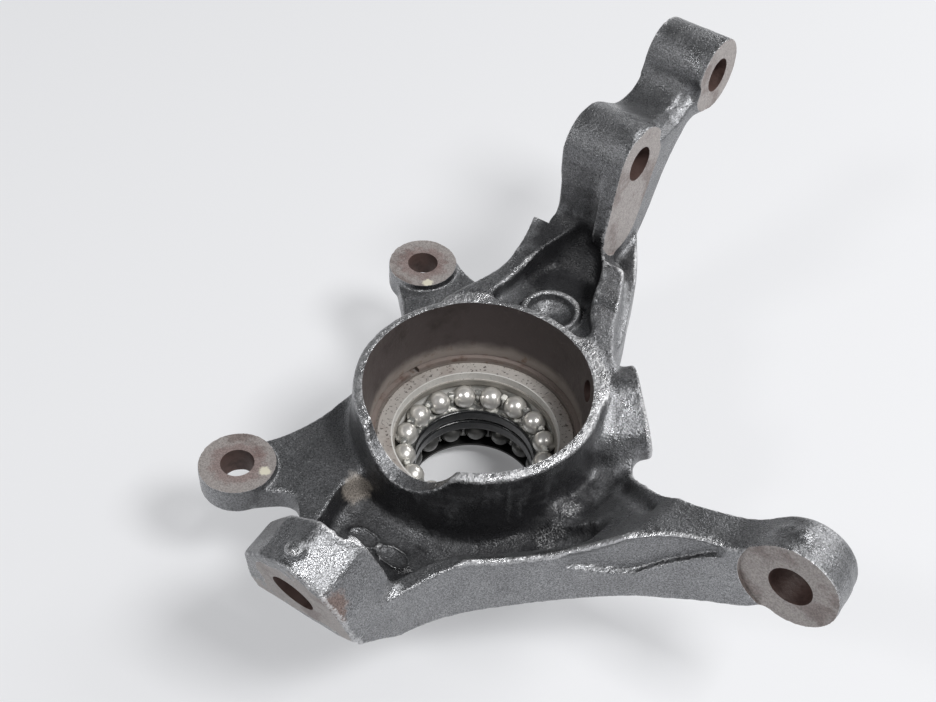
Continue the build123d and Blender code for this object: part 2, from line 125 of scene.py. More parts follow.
def sampled(field, low, step, points):
    # field read at points in mm, between its cells
    p = points / step - low
    base = np.clip(np.floor(p).astype(int), 0, np.array(field.shape) - 2)
    t = p - base
    total = 0
    for dx in (0, 1):
        for dy in (0, 1):
            for dz in (0, 1):
                weight = np.abs(1 - dx - t[:, 0]) * np.abs(1 - dy - t[:, 1]) * np.abs(1 - dz - t[:, 2])
                total = total + weight * field[base[:, 0] + dx, base[:, 1] + dy, base[:, 2] + dz]
    return total


def lumps(points, size, seed):
    # smooth noise from -1 to 1 with bumps of about size mm
    rng = np.random.default_rng(seed)
    p = points / size
    low = np.floor(p.min(0)).astype(int) - 1
    cells = np.ceil(p.max(0)).astype(int) - low + 3
    return sampled(rng.uniform(-1, 1, cells).astype(np.float32), low, 1.0, p)


def smoothStep(values, low, high):
    t = np.clip((values - low) / (high - low), 0, 1)
    return t * t * (3 - 2 * t)


# Clay is a block of distances to a surface, worked like clay, in millimetres
class Clay:
    def __init__(self, points, triangles, step, reach):
        self.step, self.reach = step, reach
        grid = openvdb.FloatGrid.createLevelSetFromPolygons(
            points, triangles=triangles.astype(np.uint32),
            transform=openvdb.createLinearTransform(voxelSize=step), halfWidth=reach / step)
        self.low = np.floor(points.min(0) / step).astype(int) - 8
        high = np.ceil(points.max(0) / step).astype(int) + 8
        self.field = np.zeros(high - self.low + 1, np.float32)
        grid.copyToArray(self.field, ijk=self.corner())

    def corner(self):
        return tuple(int(v) for v in self.low)

    def surface(self, level=0.0):
        grid = openvdb.FloatGrid(self.reach)
        grid.gridClass = openvdb.GridClass.LEVEL_SET
        grid.transform = openvdb.createLinearTransform(voxelSize=self.step)
        grid.copyFromArray(np.ascontiguousarray(self.field), ijk=self.corner())
        return grid.convertToQuads(isovalue=level)

    def rounded(self, radius):
        # inside corners rounded to the radius, outside ones if it is negative
        points, quads = self.surface(radius)
        grid = openvdb.FloatGrid.createLevelSetFromPolygons(
            points, quads=quads, transform=openvdb.createLinearTransform(voxelSize=self.step),
            halfWidth=(abs(radius) + self.reach / 2) / self.step)
        away = np.zeros_like(self.field)
        grid.copyToArray(away, ijk=self.corner())
        return np.clip(away + radius, -self.reach, self.reach)

    def window(self, low, high):
        first = np.maximum(np.floor(np.array(low) / self.step).astype(int) - self.low, 0)
        last = np.minimum(np.ceil(np.array(high) / self.step).astype(int) - self.low + 1, self.field.shape)
        part = tuple(slice(a, b) for a, b in zip(first, last))
        axes = [(np.arange(a, b) + lo) * self.step for a, b, lo in zip(first, last, self.low)]
        return part, np.meshgrid(*[a.astype(np.float32) for a in axes], indexing="ij", sparse=True)

    def add(self, shape, low, high, blend=0.0):
        part, xyz = self.window(low, high)
        self.field[part] = softMin(self.field[part], shape(*xyz), blend)

    def cut(self, shape, low, high, blend=0.0):
        part, xyz = self.window(low, high)
        self.field[part] = -softMin(-self.field[part], shape(*xyz), blend)


def softMin(a, b, blend):
    if blend <= 0:
        return np.minimum(a, b)
    h = np.maximum(blend - np.abs(a - b), 0) / blend
    return np.minimum(a, b) - h * h * blend * 0.25


def bar(a, b, radius):
    # distance to a flat-ended round bar between two points
    a, b = np.array(a, np.float32), np.array(b, np.float32)
    length = float(np.linalg.norm(b - a))
    along = (b - a) / length

    def shape(x, y, z):
        dx, dy, dz = x - a[0], y - a[1], z - a[2]
        s = dx * along[0] + dy * along[1] + dz * along[2]
        r = np.sqrt(np.maximum(dx * dx + dy * dy + dz * dz - s * s, 0)) - radius
        over = np.maximum(-s, s - length)
        return np.minimum(np.maximum(r, over), 0) + np.hypot(np.maximum(r, 0), np.maximum(over, 0))
    return shape


def ball(center, radius, flat=1.0):
    def shape(x, y, z):
        away = np.sqrt((x - center[0]) ** 2 + (y - center[1]) ** 2 + ((z - center[2]) / flat) ** 2)
        return (away - radius) * min(flat, 1.0)
    return shape


def cord(points, radius):
    # distance to a round cord through the points
    def shape(x, y, z):
        best = None
        for a, b in zip(points[:-1], points[1:]):
            d = [q - p for p, q in zip(a, b)]
            square = sum(v * v for v in d)
            t = np.clip(((x - a[0]) * d[0] + (y - a[1]) * d[1] + (z - a[2]) * d[2]) / square, 0, 1)
            dx, dy, dz = x - a[0] - t * d[0], y - a[1] - t * d[1], z - a[2] - t * d[2]
            away = np.sqrt(dx ** 2 + dy ** 2 + dz ** 2)
            best = away if best is None else np.minimum(best, away)
        return best - radius
    return shape


def hoop(center, radius, thick):
    # distance to a ring lying flat
    def shape(x, y, z):
        dx, dy = (x - center[0]) / radius, (y - center[1]) / radius
        r = (np.hypot(dx, dy) - 1) * radius * 1.2
        return np.sqrt(r * r + (z - center[2]) ** 2) - thick
    return shape


def around(points, margin):
    return [min(axis) - margin for axis in zip(*points)], [max(axis) + margin for axis in zip(*points)]


# looks: every node is placed by put, and effects shared by materials are groups
def feed(tree, node, inputs):
    # a socket is linked, anything else is the input's own value
    for key, value in inputs.items():
        if isinstance(value, bpy.types.NodeSocket):
            tree.links.new(value, node.inputs[key])
        else:
            node.inputs[key].default_value = value
    return node


def put(tree, kind, inputs=None, **settings):
    node = tree.nodes.new(kind)
    for name, value in settings.items():
        setattr(node, name, value)
    return feed(tree, node, inputs or {})


def noise(tree, at, scale, detail=4.0, rough=0.6):
    inputs = {"Vector": at, "Scale": scale, "Detail": detail, "Roughness": rough}
    return put(tree, "ShaderNodeTexNoise", inputs).outputs["Fac"]


def step(tree, value, low, high, start=0.0, end=1.0):
    inputs = {"Value": value, "From Min": low, "From Max": high, "To Min": start, "To Max": end}
    return put(tree, "ShaderNodeMapRange", inputs, interpolation_type="SMOOTHSTEP").outputs["Result"]


def sums(tree, kind, a, b=0.0):
    return put(tree, "ShaderNodeMath", {0: a, 1: b}, operation=kind).outputs[0]


def times(tree, a, b):
    return sums(tree, "MULTIPLY", a, b)


def blendColor(tree, share, a, b):
    inputs = {0: share, 6: a, 7: b}
    return put(tree, "ShaderNodeMix", inputs, data_type="RGBA").outputs[2]


def blendValue(tree, share, a, b):
    return put(tree, "ShaderNodeMix", {0: share, 2: a, 3: b}).outputs[0]


# kinds of the sockets that aren't plain numbers
socketKinds = {
    "Base": "Color", "Metal": "Color", "Patch": "Color", "Color": "Color",
    "Vector": "Vector", "Place": "Vector", "Normal": "Vector",
}


def newGroup(name, inputs, outputs):
    group = bpy.data.node_groups.new(name, "ShaderNodeTree")
    for way, labels in (("INPUT", inputs), ("OUTPUT", outputs)):
        for label in labels:
            kind = "NodeSocket" + socketKinds.get(label, "Float")
            group.interface.new_socket(name=label, in_out=way, socket_type=kind)
    return group, group.nodes.new("NodeGroupInput").outputs, group.nodes.new("NodeGroupOutput").inputs


def grainGroup():
    # fine and coarse bumps of a sand-cast or worn surface
    inputs = ("Vector", "Fine Scale", "Fine Height", "Coarse Scale", "Coarse Height")
    group, given, result = newGroup("surfaceGrain", inputs, ("Normal",))
    at = given["Vector"]
    fine = times(group, noise(group, at, given["Fine Scale"], 3.0), given["Fine Height"])
    coarse = times(group, noise(group, at, given["Coarse Scale"], 4.0), given["Coarse Height"])
    height = sums(group, "ADD", fine, coarse)
    bump = put(group, "ShaderNodeBump", {"Height": height, "Distance": 1.0, "Strength": 1.0})
    group.links.new(bump.outputs[0], result["Normal"])
    return group


def wearGroup():
    # bare metal where a crown or an edge has been rubbed
    inputs = ("Base", "Metal", "Crown", "Vector", "Scale", "Amount")
    group, given, result = newGroup("edgeWear", inputs, ("Color",))
    speck = noise(group, given["Vector"], given["Scale"], 5.0, 0.7)
    worn = step(group, sums(group, "ADD", times(group, given["Crown"], 0.5), speck), 0.78, 1.0)
    worn = times(group, worn, given["Amount"])
    group.links.new(blendColor(group, worn, given["Base"], given["Metal"]), result["Color"])
    return group


def patchGroup():
    # cloudy patches of a second colour, for rust, dust and stains
    inputs = ("Base", "Patch", "Vector", "Scale", "Cover", "Soft", "Amount")
    group, given, result = newGroup("cloudyPatches", inputs, ("Color", "Mask"))
    cloud = noise(group, given["Vector"], given["Scale"], 6.0, 0.62)
    edge = sums(group, "SUBTRACT", 1.0, given["Cover"])
    mask = step(group, cloud, edge, sums(group, "ADD", edge, given["Soft"]))
    mask = times(group, mask, given["Amount"])
    group.links.new(blendColor(group, mask, given["Base"], given["Patch"]), result["Color"])
    group.links.new(mask, result["Mask"])
    return group


def spotGroup():
    # a ragged spot around one place
    group, given, result = newGroup("raggedSpot", ("Vector", "Place", "Radius", "Scale"), ("Mask",))
    away = put(group, "ShaderNodeVectorMath", {0: given["Vector"], 1: given["Place"]}, operation="DISTANCE")
    share = sums(group, "DIVIDE", away.outputs["Value"], given["Radius"])
    ragged = sums(group, "ADD", share, noise(group, given["Vector"], given["Scale"], 4.0, 0.7))
    group.links.new(step(group, ragged, 1.1, 1.45, 1.0, 0.0), result["Mask"])
    return group


def speckleGroup():
    # fine light and dark specks over any colour
    inputs = ("Base", "Vector", "Scale", "Dark", "Light")
    group, given, result = newGroup("fineSpeckle", inputs, ("Color",))
    speck = step(group, noise(group, given["Vector"], given["Scale"], 3.0, 0.75), 0.32, 0.68)
    share = blendValue(group, speck, given["Dark"], given["Light"])
    mixed = put(group, "ShaderNodeVectorMath", {0: given["Base"], "Scale": share}, operation="SCALE")
    group.links.new(mixed.outputs["Vector"], result["Color"])
    return group


grain, wear, patches, spot, speckle = grainGroup(), wearGroup(), patchGroup(), spotGroup(), speckleGroup()


def use(tree, group, **inputs):
    # places a group; "coarseHeight" is its input "Coarse Height"
    named = {"".join(" " + c if c.isupper() else c for c in key).title(): inputs[key] for key in inputs}
    return feed(tree, put(tree, "ShaderNodeGroup", node_tree=group), named).outputs


def patchy(tree, at, base, look):
    return use(tree, patches, base=base, vector=at, **look)


def dab(tree, at, base, color, share, places, radius, scale):
    # ragged spots of one colour; the mask of the last comes back too
    for place in places:
        mask = use(tree, spot, vector=at, place=place, radius=radius, scale=scale)["Mask"]
        base = blendColor(tree, times(tree, mask, share), base, color)
    return base, mask


def newLook(name, rough=0.5, metallic=0.0, **plain):
    material = bpy.data.materials.new(name)
    material.use_nodes = True
    tree = material.node_tree
    tree.nodes.clear()
    shader = put(tree, "ShaderNodeBsdfPrincipled", {"Roughness": rough, "Metallic": metallic, **plain})
    tree.links.new(shader.outputs[0], put(tree, "ShaderNodeOutputMaterial").inputs[0])
    at = put(tree, "ShaderNodeTexCoord").outputs["Object"]
    return material, tree, shader.inputs, at


def skin(tree, shader, at, color, look):
    # colour, and bumps of two sizes; fine and coarse are scale and height
    tree.links.new(color, shader["Base Color"])
    fine, coarse = look["fine"], look["coarse"]
    bumps = use(tree, grain, vector=at, fineScale=fine[0], fineHeight=fine[1],
                coarseScale=coarse[0], coarseHeight=coarse[1])
    tree.links.new(bumps["Normal"], shader["Normal"])


paint = {
    "deep": (0.024, 0.024, 0.026, 1),
    "dry": (0.235, 0.238, 0.246, 1),
    "bare": (0.72, 0.72, 0.73, 1),
    "cloud": (55.0, 0.34),  # scale and share of the noise clouds at the edge of the painted shade
    "openness": (0.52, 1.22),  # from where the painted shade of recesses starts to lift to where it is gone
    "soot": (((-0.0120, 0.0815, 0.0640), 0.027), ((0.0455, -0.0085, 0.0475), 0.0135)),  # painted shade on two spots: place, radius
    "shadeSpotScale": 90.0,
    "shadeSpotLight": 0.12,
    "dust": {"patch": (0.31, 0.313, 0.32, 1), "scale": 75.0, "cover": 0.5, "soft": 0.2},
    "dustShare": 0.5,
    "stain": {"color": (0.36, 0.32, 0.28, 1), "share": 0.7, "places": ((-0.0175, -0.0470, 0.0430),),
              "radius": 0.0070, "scale": 260.0},
    "rust": {"color": (0.15, 0.095, 0.078, 1), "share": 0.8, "places": ((0.0225, -0.1065, 0.0740),),
             "radius": 0.0075, "scale": 300.0},
    "specks": {"scale": 1900.0, "dark": 0.5, "light": 1.6},
    "glintScrapes": ((0.0485, -0.0235, 0.0415), (0.0505, -0.0185, 0.0450), (0.0500, -0.0125, 0.0465)),
    "glintScrapeSize": {"radius": 0.0062, "scale": 300.0},
    "glintScrapeShare": 0.62,
    "rubbing": {"scale": 1500.0, "amount": 0.7},
    "metal": (0.25, 0.85),  # how metallic it is in the painted shade of recesses and in the open
    "spotMetal": 0.1,  # what is left of that on rust or a stain
    "gloss": (0.22, 0.42),
    "glossScale": 90.0,
    "fine": (1500.0, 0.00024),
    "coarseScale": 420.0,
    "hammered": (0.0003, 0.0012),  # height on flat ground and on a crown
}


def castPaint():
    # graphite-like black, with painted shade darkening the recesses, and rubbed grey in the open
    material, tree, shader, at = newLook("castPaint")
    opened, crown, edge = (put(tree, "ShaderNodeAttribute", attribute_name=name).outputs["Fac"]
                           for name in ("open", "crown", "edge"))
    scale, share = paint["cloud"]
    cloud = times(tree, noise(tree, at, scale, 6.0, 0.7), share)
    # painted shade: the less open a point, the nearer its colour to the dark of the recesses
    light = step(tree, sums(tree, "ADD", opened, cloud), *paint["openness"])
    # two spots of painted shade darken the open colour further
    for place, radius in paint["soot"]:
        shadeSpot = use(tree, spot, vector=at, place=place, radius=radius, scale=paint["shadeSpotScale"])["Mask"]
        light = times(tree, light, step(tree, shadeSpot, 0.0, 1.0, 1.0, paint["shadeSpotLight"]))
    base = blendColor(tree, light, paint["deep"], paint["dry"])
    amount = times(tree, light, paint["dustShare"])
    base = patchy(tree, at, base, {"amount": amount, **paint["dust"]})["Color"]
    base, stain = dab(tree, at, base, **paint["stain"])
    base, rust = dab(tree, at, base, **paint["rust"])
    base = use(tree, speckle, base=base, vector=at, **paint["specks"])["Color"]
    # three scrapes rubbed to bare metal, also standing in for a painted highlight along a fillet
    for place in paint["glintScrapes"]:
        glintScrapes = use(tree, spot, vector=at, place=place, **paint["glintScrapeSize"])["Mask"]
        crown = sums(tree, "MAXIMUM", crown, times(tree, glintScrapes, paint["glintScrapeShare"]))
    rubbed = use(tree, wear, base=base, metal=paint["bare"], crown=sums(tree, "MAXIMUM", crown, edge),
                 vector=at, **paint["rubbing"])
    clean = step(tree, sums(tree, "ADD", stain, rust), 0.0, 0.6, 1.0, paint["spotMetal"])
    metal = times(tree, blendValue(tree, light, *paint["metal"]), clean)
    tree.links.new(metal, shader["Metallic"])
    gloss = step(tree, noise(tree, at, paint["glossScale"]), 0.35, 0.65)
    tree.links.new(blendValue(tree, gloss, *paint["gloss"]), shader["Roughness"])
    coarse = paint["coarseScale"], blendValue(tree, crown, *paint["hammered"])
    skin(tree, shader, at, rubbed["Color"], {"fine": paint["fine"], "coarse": coarse})
    return material


face = {
    "steel": (0.36, 0.33, 0.317, 1),
    "rust": {"patch": (0.165, 0.125, 0.115, 1), "scale": 75.0, "cover": 0.52, "soft": 0.14, "amount": 0.65},
    "red": {"color": (0.20, 0.105, 0.095, 1), "share": 0.45, "radius": 0.0120, "scale": 260.0,
            "places": ((-0.05404, -0.06818, 0.0496), (-0.06732, 0.05510, 0.0496))},
    "scuffs": {"patch": (0.40, 0.38, 0.36, 1), "scale": 210.0, "cover": 0.36, "soft": 0.1, "amount": 0.6},
    "specks": {"scale": 1700.0, "dark": 0.72, "light": 1.3},
    "cream": {"color": (0.80, 0.76, 0.62, 1), "share": 1.0, "radius": 0.0026, "scale": 700.0,
              "places": ((-0.0440, -0.0650, 0.0496), (-0.0585, 0.0470, 0.0496))},
    "fine": (900.0, 0.00012),
    "coarse": (200.0, 0.0002),
}


def machinedFace():
    # turned steel gone brown, redder round the ear holes
    material, tree, shader, at = newLook("machinedFace", rough=0.5, metallic=0.25)
    color = patchy(tree, at, face["steel"], face["rust"])["Color"]
    color, _ = dab(tree, at, color, **face["red"])
    color = patchy(tree, at, color, face["scuffs"])["Color"]
    color = use(tree, speckle, base=color, vector=at, **face["specks"])["Color"]
    color, _ = dab(tree, at, color, **face["cream"])
    skin(tree, shader, at, color, face)
    return material


def rustySteel(name, look):
    # brown with darker patches
    material, tree, shader, at = newLook(name, look["rough"], look["metallic"])
    rust = patchy(tree, at, look["brown"], look["rust"])
    skin(tree, shader, at, rust["Color"], look)
    return material


hole = {
    "rough": 0.55,
    "metallic": 0.1,
    "brown": (0.105, 0.064, 0.055, 1),
    "rust": {"patch": (0.045, 0.026, 0.022, 1), "scale": 160.0, "cover": 0.55, "soft": 0.25, "amount": 0.9},
    "fine": (800.0, 0.00015),
    "coarse": (300.0, 0.0002),
}


bore = {
    "brown": (0.095, 0.078, 0.076, 1),
    "rust": {"patch": (0.040, 0.030, 0.028, 1), "scale": 60.0, "cover": 0.55, "soft": 0.3, "amount": 0.8},
    "band": (0.32, 0.285, 0.262, 1),
    "bandTop": 0.0510,
    "bandFade": 0.0028,
    "bandRagged": (130.0, 0.004),  # scale and height
    "flecks": {"patch": (0.20, 0.13, 0.10, 1), "scale": 240.0, "cover": 0.46, "soft": 0.16, "amount": 0.8},
    "fine": (900.0, 0.00012),
    "coarse": (240.0, 0.00025),
}


def boreWall():
    # brown and oily, paler low down by the snap ring
    material, tree, shader, at = newLook("boreWall", rough=0.46, metallic=0.35)
    rust = patchy(tree, at, bore["brown"], bore["rust"])
    height = put(tree, "ShaderNodeSeparateXYZ", {0: at}).outputs["Z"]
    scale, share = bore["bandRagged"]
    ragged = sums(tree, "ADD", height, times(tree, noise(tree, at, scale), share))
    top, fade = bore["bandTop"], bore["bandFade"]
    band = step(tree, ragged, top - fade, top + fade, 1.0, 0.0)
    flecks = patchy(tree, at, bore["band"], bore["flecks"])
    color = blendColor(tree, band, rust["Color"], flecks["Color"])
    skin(tree, shader, at, color, bore)
    return material


castMat, machinedMat = castPaint(), machinedFace()
holeMat, boreMat = rustySteel("holeWall", hole), boreWall()
print("looks ready")


# the casting is worked in clay from its solid, then bored and faced
casting = {
    "step": 0.75,
    "reach": 7.5,
    "triangles": 190000,
    "insideCorner": 3.0,
    "hubFoot": 7.0,
    "hubRing": (52, 12),  # radius and reach of the foot's larger fillet
    "fork": (60.0, -19.0, 48.0, 14.0),  # middle and reach of the soft corner beside the steering arm
    "outsideCorner": 0.8,
    "proud": 0.9,  # what a machined face has to spare before it is cut
    "ears": ((-54.04, -68.18), (-67.32, 55.10)),
    "earFace": 49.6,
    "earRadius": 13.8,
    "earHole": 6.0,
    "strutFace": -1.4,
    "strutBack": -27.0,
    "strutBolts": ((103.5, 103.0), (160.24, 112.9)),
    "strutHole": 7.0,
    "strutBoss": 15.0,
    "padSpare": 0.9,  # how far a pad's cutter reaches past its rim
    "padTail": (95.5, 79.0, 12.5),
    "tailRoom": 4.5,  # how far the flange stays clear of the end of the pad
    "hubPlug": (42.5, 68.9),  # radius and top
    "blockPlug": 12.5,
    "tiePlug": 10.0,
    "sensorPlug": 6.5,
    "blockBore": (8.1, 6.82),  # radius at the mouth and at the end
    "tieBore": (7.6, 6.52),
    "sensorBore": 4.0,
    "blockCenter": (5.5, -104.8, 65.1),
    "blockTilt": 13.8,
    "blockDepth": 21.5,
    "tieRod": (129.8, -15.0, 76.2),
    "tieRodBoss": 16.5,
    "tieRodDepth": 17.6,
    "sensorAngle": 43.6,
    "sensorRise": 8.6,
    "sensorReach": 58.2,
    "sensorHeight": 63.6,
    "scallop": (20.0, 76.0, -91.0),  # radius, height of its middle, angle round the hub
    "lumps": ((0.22, 12.0), (0.06, 4.2), (0.05, 1.6)),  # height and size
}

# marks left by the mould, in mm
marks = {
    "partingLine": ((64.4, -42.6, 60.9), (70.8, -37.3, 58.9), (77.3, -32.0, 56.8), (83.6, -27.3, 56.5),
                    (89.9, -22.6, 61.3), (95.2, -20.0, 65.1), (101.0, -18.8, 70.3), (107.9, -17.3, 75.6)),
    "partingStep": 2.0,
    # of each cord: points, radius, room round it and softness of its rims
    "arm": (((58.5, 3.4, 53.4), (66.0, -2.2, 60.2), (76.0, -10.6, 69.6)), 2.4, 4.0, 2.2),
    "flute": (((-3.0, 122.0, 107.0), (-3.4, 132.8, 107.5), (-2.6, 143.0, 111.5)), 4.2, 8.0, 2.5),
    "crease": (((-3.2, 118.3, 111.9), (-4.6, 126.0, 109.0), (-5.2, 131.3, 107.9), (-4.7, 137.9, 108.6),
                (-3.4, 142.2, 110.8)), 1.5, 5.0, 0.8),
    "notch": (((-1.0, 99.2, 118.6), (-1.0, 104.6, 119.7)), 2.2, 5.0, 1.0),
    "pips": (((7.4, -104.0, 88.6), 3.4, 0.55), ((127.4, -6.7, 91.9), 3.0, 0.5)),  # place, radius, flatness
    "rings": (((-4.4, -58.6), (6.0, 3.3)), ((8.4, -58.9), (6.4, 3.5))),  # middle and radii
    "ringHeight": 0.9,
    "ringWidth": 0.75,
    "dish": ((-3.8, 52.1, 61.2), 10.2, 2.4),  # middle, radius and thickness of its rim
    "hollow": ((-3.8, 52.1, 66.4), 9.4),
}


def sensorFrame():
    rise, turn = math.radians(casting["sensorRise"]), math.radians(casting["sensorAngle"])
    out = Vector((math.cos(turn) * math.cos(rise), math.sin(turn) * math.cos(rise), math.sin(rise)))
    start = out * (casting["sensorReach"] / math.cos(rise))
    start.z = casting["sensorHeight"]
    return start, out


def blockFrame():
    tilt = math.radians(casting["blockTilt"])
    return Vector(casting["blockCenter"]), Vector((0, math.cos(tilt), math.sin(tilt)))


def tongue(xLow, xHigh):
    # distance to the swept shape of the lower strut pad
    (y0, z0), (y1, z1, r1) = casting["strutBolts"][0], casting["padTail"]
    r0 = casting["strutBoss"]
    square = (y1 - y0) ** 2 + (z1 - z0) ** 2

    def shape(x, y, z):
        t = np.clip(((y - y0) * (y1 - y0) + (z - z0) * (z1 - z0)) / square, 0, 1)
        r = np.hypot(y - y0 - t * (y1 - y0), z - z0 - t * (z1 - z0)) - (r0 + t * (r1 - r0))
        over = np.maximum(xLow - x, x - xHigh)
        return np.minimum(np.maximum(r, over), 0) + np.hypot(np.maximum(r, 0), np.maximum(over, 0))
    return shape


def padOut(clay):
    # every bore is plugged, and every machined face stands proud, until they are cut
    c = casting
    spare = c["proud"]
    radius, top = c["hubPlug"]
    clay.add(bar((0, 0, -1.0), (0, 0, top), radius), (-44, -44, -4), (44, 44, 72))
    for x, y in c["ears"]:
        clay.add(bar((x, y, 39.0), (x, y, c["earFace"] + spare), c["earRadius"]),
                 (x - 16, y - 16, 36), (x + 16, y + 16, 54))
    for y, z in c["strutBolts"]:
        clay.add(bar((c["strutBack"] - spare, y, z), (c["strutFace"] + spare, y, z), c["strutBoss"]),
                 (-31, y - 17, z - 17), (3, y + 17, z + 17))
    clay.add(tongue(c["strutFace"] - 6, c["strutFace"] + spare), (-10, 70, 60), (3, 122, 122))
    center, axis = blockFrame()
    clay.add(bar(center - axis * spare, center + axis * 12, c["blockPlug"]), (-10, -124, 45), (22, -86, 86))
    tie, back = Vector(c["tieRod"]), Vector((0, 1, 0))
    clay.add(bar(tie - back * spare, tie + back * 10, c["tieRodBoss"] - 0.3), (110, -19, 57), (150, 0, 95))
    clay.add(bar(tie, tie + back * (c["tieRodDepth"] - 1), c["tiePlug"]), (116, -17, 63), (144, 5, 90))
    start, out = sensorFrame()
    clay.add(bar(start - out * 20, start + out * 0.5, c["sensorPlug"]), (20, 20, 50), (60, 60, 80))


def softenCorners(clay):
    # larger fillets round the foot of the hub, none at the ears
    c = casting
    sharp = clay.field.copy()
    small, large = clay.rounded(c["insideCorner"]), clay.rounded(c["hubFoot"])
    _, (x, y, z) = clay.window((-1e3, -1e3, -1e3), (1e3, 1e3, 1e3))
    ring, reach = c["hubRing"]
    foot = smoothStep(1 - np.abs(np.hypot(x, y) - ring) / reach, 0, 1) * smoothStep((66 - z) / 8, 0, 1)
    forkX, forkY, forkZ, forkReach = c["fork"]
    away = np.sqrt((x - forkX) ** 2 + (y - forkY) ** 2 + (z - forkZ) ** 2)
    foot = np.maximum(foot, smoothStep(1.6 - away / forkReach, 0, 0.6))
    ears = np.zeros_like(x * y)
    for ex, ey in c["ears"]:
        ears = np.maximum(ears, np.clip((19 - np.hypot(x - ex, y - ey)) / 3, 0, 1))
    small += foot * (large - small)
    small += ears * (sharp - small)
    clay.field = small
    clay.field = clay.rounded(-c["outsideCorner"])


def mouldMarks(clay):
    m = marks
    line = np.array(m["partingLine"])
    part, (x, y, z) = clay.window(*around(m["partingLine"], 9.0))
    slope = np.gradient(clay.field[part], clay.step)
    upright = smoothStep(-slope[1], 0.35, 0.7) * smoothStep(1 - np.abs(slope[2]), 0.35, 0.6)
    above = z - np.interp(x, line[:, 0], line[:, 2])
    ends = smoothStep(x, line[0, 0] - 2, line[0, 0] + 4) * smoothStep(-x, -line[-1, 0] - 1, -line[-1, 0] + 5)
    clay.field[part] += m["partingStep"] * smoothStep(above, -0.3, 0.5) * ends * upright
    for name in ("arm", "flute", "crease", "notch"):
        points, radius, room, blend = m[name]
        clay.cut(cord(points, radius), *around(points, room), blend)
    for place, radius, flat in m["pips"]:
        clay.add(ball(place, radius, flat), *around((place,), radius + 3), 0.8)
    for (px, py), sizes in m["rings"]:
        part, (x, y, z) = clay.window((px - 10, py - 8, 30), (px + 10, py + 8, 38.5))
        away = (np.hypot((x - px) / sizes[0], (y - py) / sizes[1]) - 1) * min(sizes) * 1.2
        clay.field[part] -= m["ringHeight"] * np.exp(-(away / m["ringWidth"]) ** 2) + 0 * z
    place, radius, thick = m["dish"]
    low, high = around((place,), radius + thick + 6)
    clay.add(hoop(place, radius, thick), (low[0], 44.5, low[2]), high, 1.2)
    place, radius = m["hollow"]
    low, high = around((place,), radius + 3)
    clay.cut(ball(place, radius), (low[0], 45.5, low[2]), high, 1.0)


def workClay():
    points, triangles = meshArrays(nodes["knuckle_casting"].data)
    clay = Clay(points * 1000, triangles, casting["step"], casting["reach"])
    padOut(clay)
    radius, middle, angle = casting["scallop"]
    turn = math.radians(angle)
    notch = bar((0, 0, middle), (54 * math.cos(turn), 54 * math.sin(turn), middle), radius)
    clay.cut(notch, (-24, -60, 50), (24, 0, 76))
    y, z, radius = casting["padTail"]
    radius += casting["tailRoom"]
    clay.cut(bar((-0.5, y, z), (16, y, z), radius),
             (-0.5, y - radius, z - radius), (16, y + radius, z + radius), 2.0)
    softenCorners(clay)
    mouldMarks(clay)
    return clay


clay = workClay()
print("clay worked", clay.field.shape)


def castBlank():
    points, quads = clay.surface()
    mesh = outward(quadMesh("knuckleBody", points, quads))
    lift = sum(height * lumps(points, size, seed) for seed, (height, size) in enumerate(casting["lumps"], 3))
    pushOut(mesh, lift)
    mesh.materials.append(castMat)
    body = objectFrom("knuckleBody", mesh)
    thinTo(body, casting["triangles"])
    return body


def barCutter(name, a, b, radius, radiusEnd=None, material=machinedMat, steps=96):
    a, b = Vector(a) * mm, Vector(b) * mm
    radiusEnd = radius if radiusEnd is None else radiusEnd
    along = (b - a).normalized()
    side = along.orthogonal().normalized()
    up = along.cross(side)
    points, faces = [], []
    for i in range(steps):
        turn = 2 * math.pi * i / steps
        away = side * math.cos(turn) + up * math.sin(turn)
        points += [a + away * radius * mm, b + away * radiusEnd * mm]
        j = (i + 1) % steps
        faces.append((2 * i, 2 * j, 2 * j + 1, 2 * i + 1))
    faces.append(tuple(2 * i for i in range(steps))[::-1])
    faces.append(tuple(2 * i + 1 for i in range(steps)))
    return objectFrom(name, outward(meshFrom(name, points, faces, material)))


hubBore = {
    # radius and height from the outboard lip to the rim
    "outline": ((33.0, -2), (33.0, 6), (37.0, 6), (37.0, 42), (40.3, 42), (40.3, 44), (38.7, 44),
                (38.7, 51.5), (39.3, 54.5), (40.4, 62), (41.0, 69), (41.2, 73)),
    "steps": 192,
}


def turnedCutter(name, outline, steps, material):
    # outline of (radius, height) pairs, closed by the axis at both ends
    points, faces = [(0, 0, outline[0][1] * mm)], []
    for r, z in outline:
        for i in range(steps):
            turn = 2 * math.pi * i / steps
            points.append((r * math.cos(turn) * mm, r * math.sin(turn) * mm, z * mm))
    points.append((0, 0, outline[-1][1] * mm))
    last = 1 + (len(outline) - 1) * steps
    for i in range(steps):
        j = (i + 1) % steps
        for k in range(len(outline) - 1):
            low = 1 + k * steps
            faces.append((low + i, low + j, low + steps + j, low + steps + i))
        faces.append((0, 1 + j, 1 + i))
        faces.append((last + steps, last + i, last + j))
    return objectFrom(name, outward(meshFrom(name, points, faces, material)))


